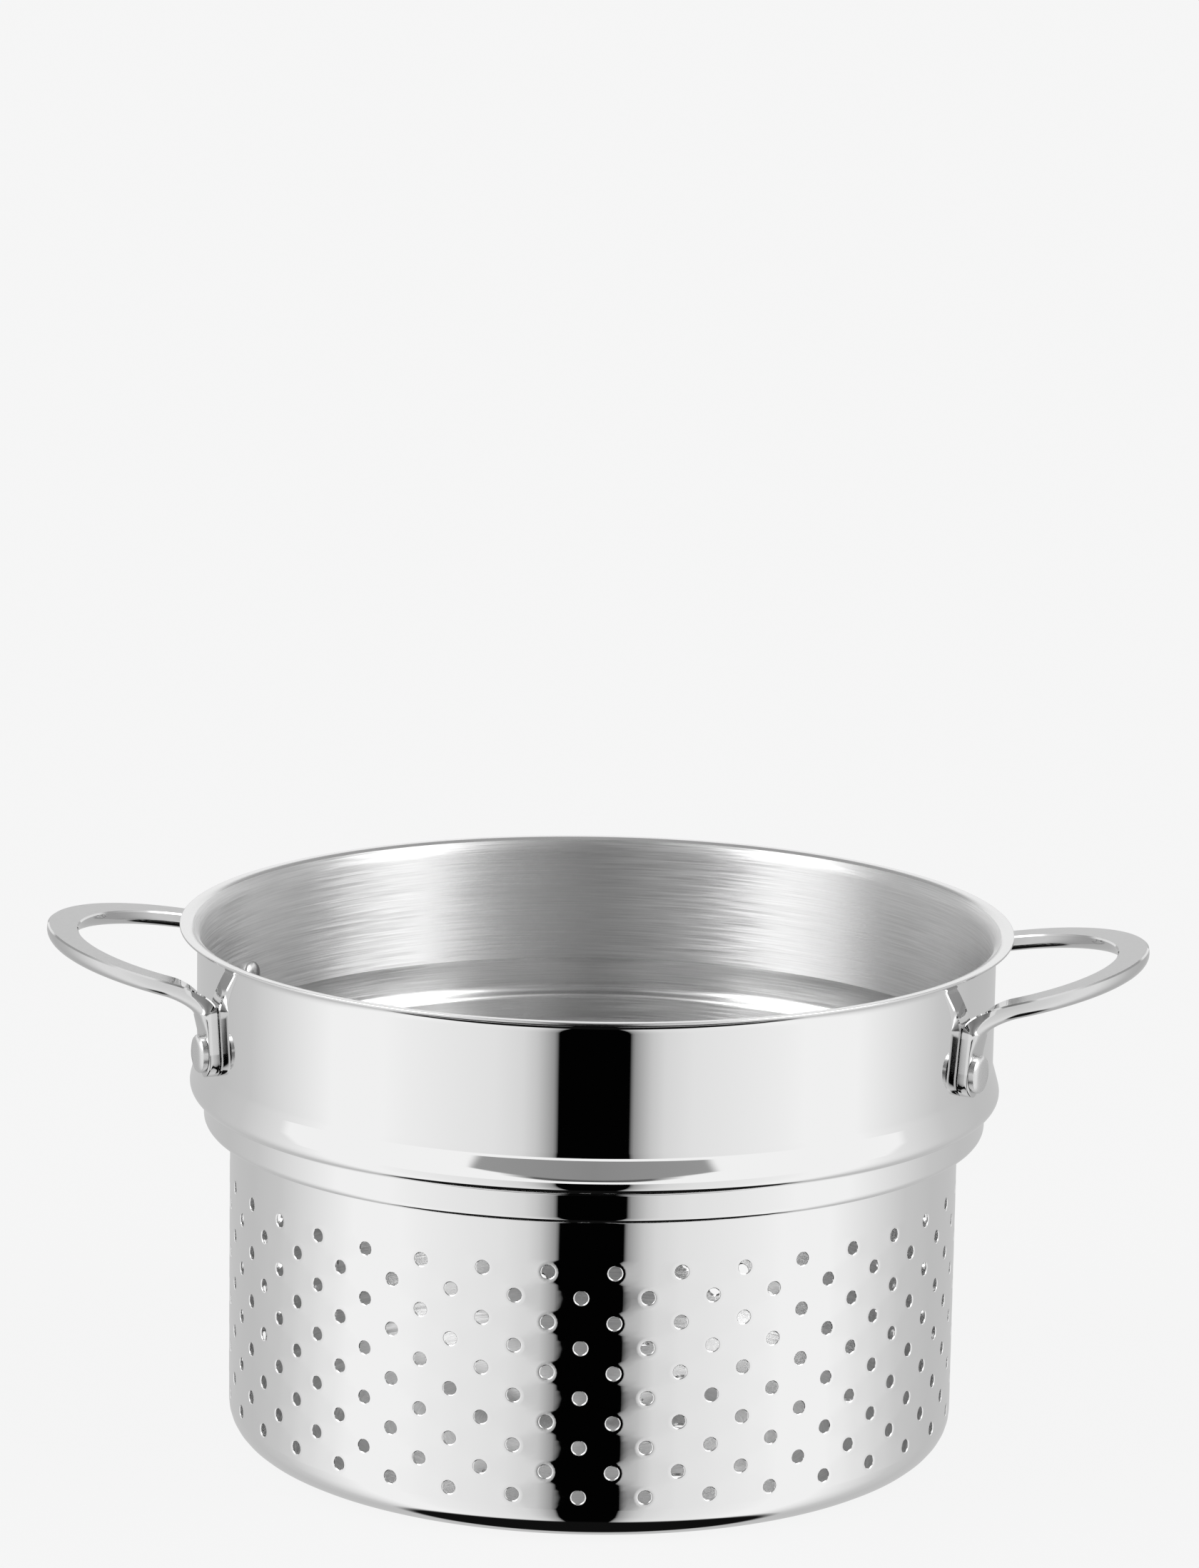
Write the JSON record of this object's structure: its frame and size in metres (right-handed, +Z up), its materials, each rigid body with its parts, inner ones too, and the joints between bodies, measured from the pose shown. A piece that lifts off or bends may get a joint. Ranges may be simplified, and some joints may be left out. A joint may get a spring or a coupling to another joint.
{
  "type": "pasta pot strainer insert",
  "caption": "Round perforated steel strainer basket with a stepped neck, a bead that rests on a pot's rim, a flared lip and two riveted loop handles.",
  "frame": {"origin": "centre of the base's underside, on the basket's axis", "axes": "+Z up along the basket's axis, +X from the axis to the right handle's tip, -Y towards the front"},
  "size_m": [0.331, 0.25, 0.1577],
  "materials": {
    "polished_sheet": "stainless steel sheet, mirror polished outside and satin brushed round the inside",
    "handle_steel": "stainless steel bar, polished, with a satin flat top face",
    "rivet_steel": "stainless steel, satin"
  },
  "bodies": {
    "root": {"strainer_basket": "polished_sheet", "handle_left": "handle_steel", "handle_right": "handle_steel", "rivet_left_front": "rivet_steel", "rivet_left_rear": "rivet_steel", "rivet_right_front": "rivet_steel", "rivet_right_rear": "rivet_steel"}
  },
  "joints": []
}
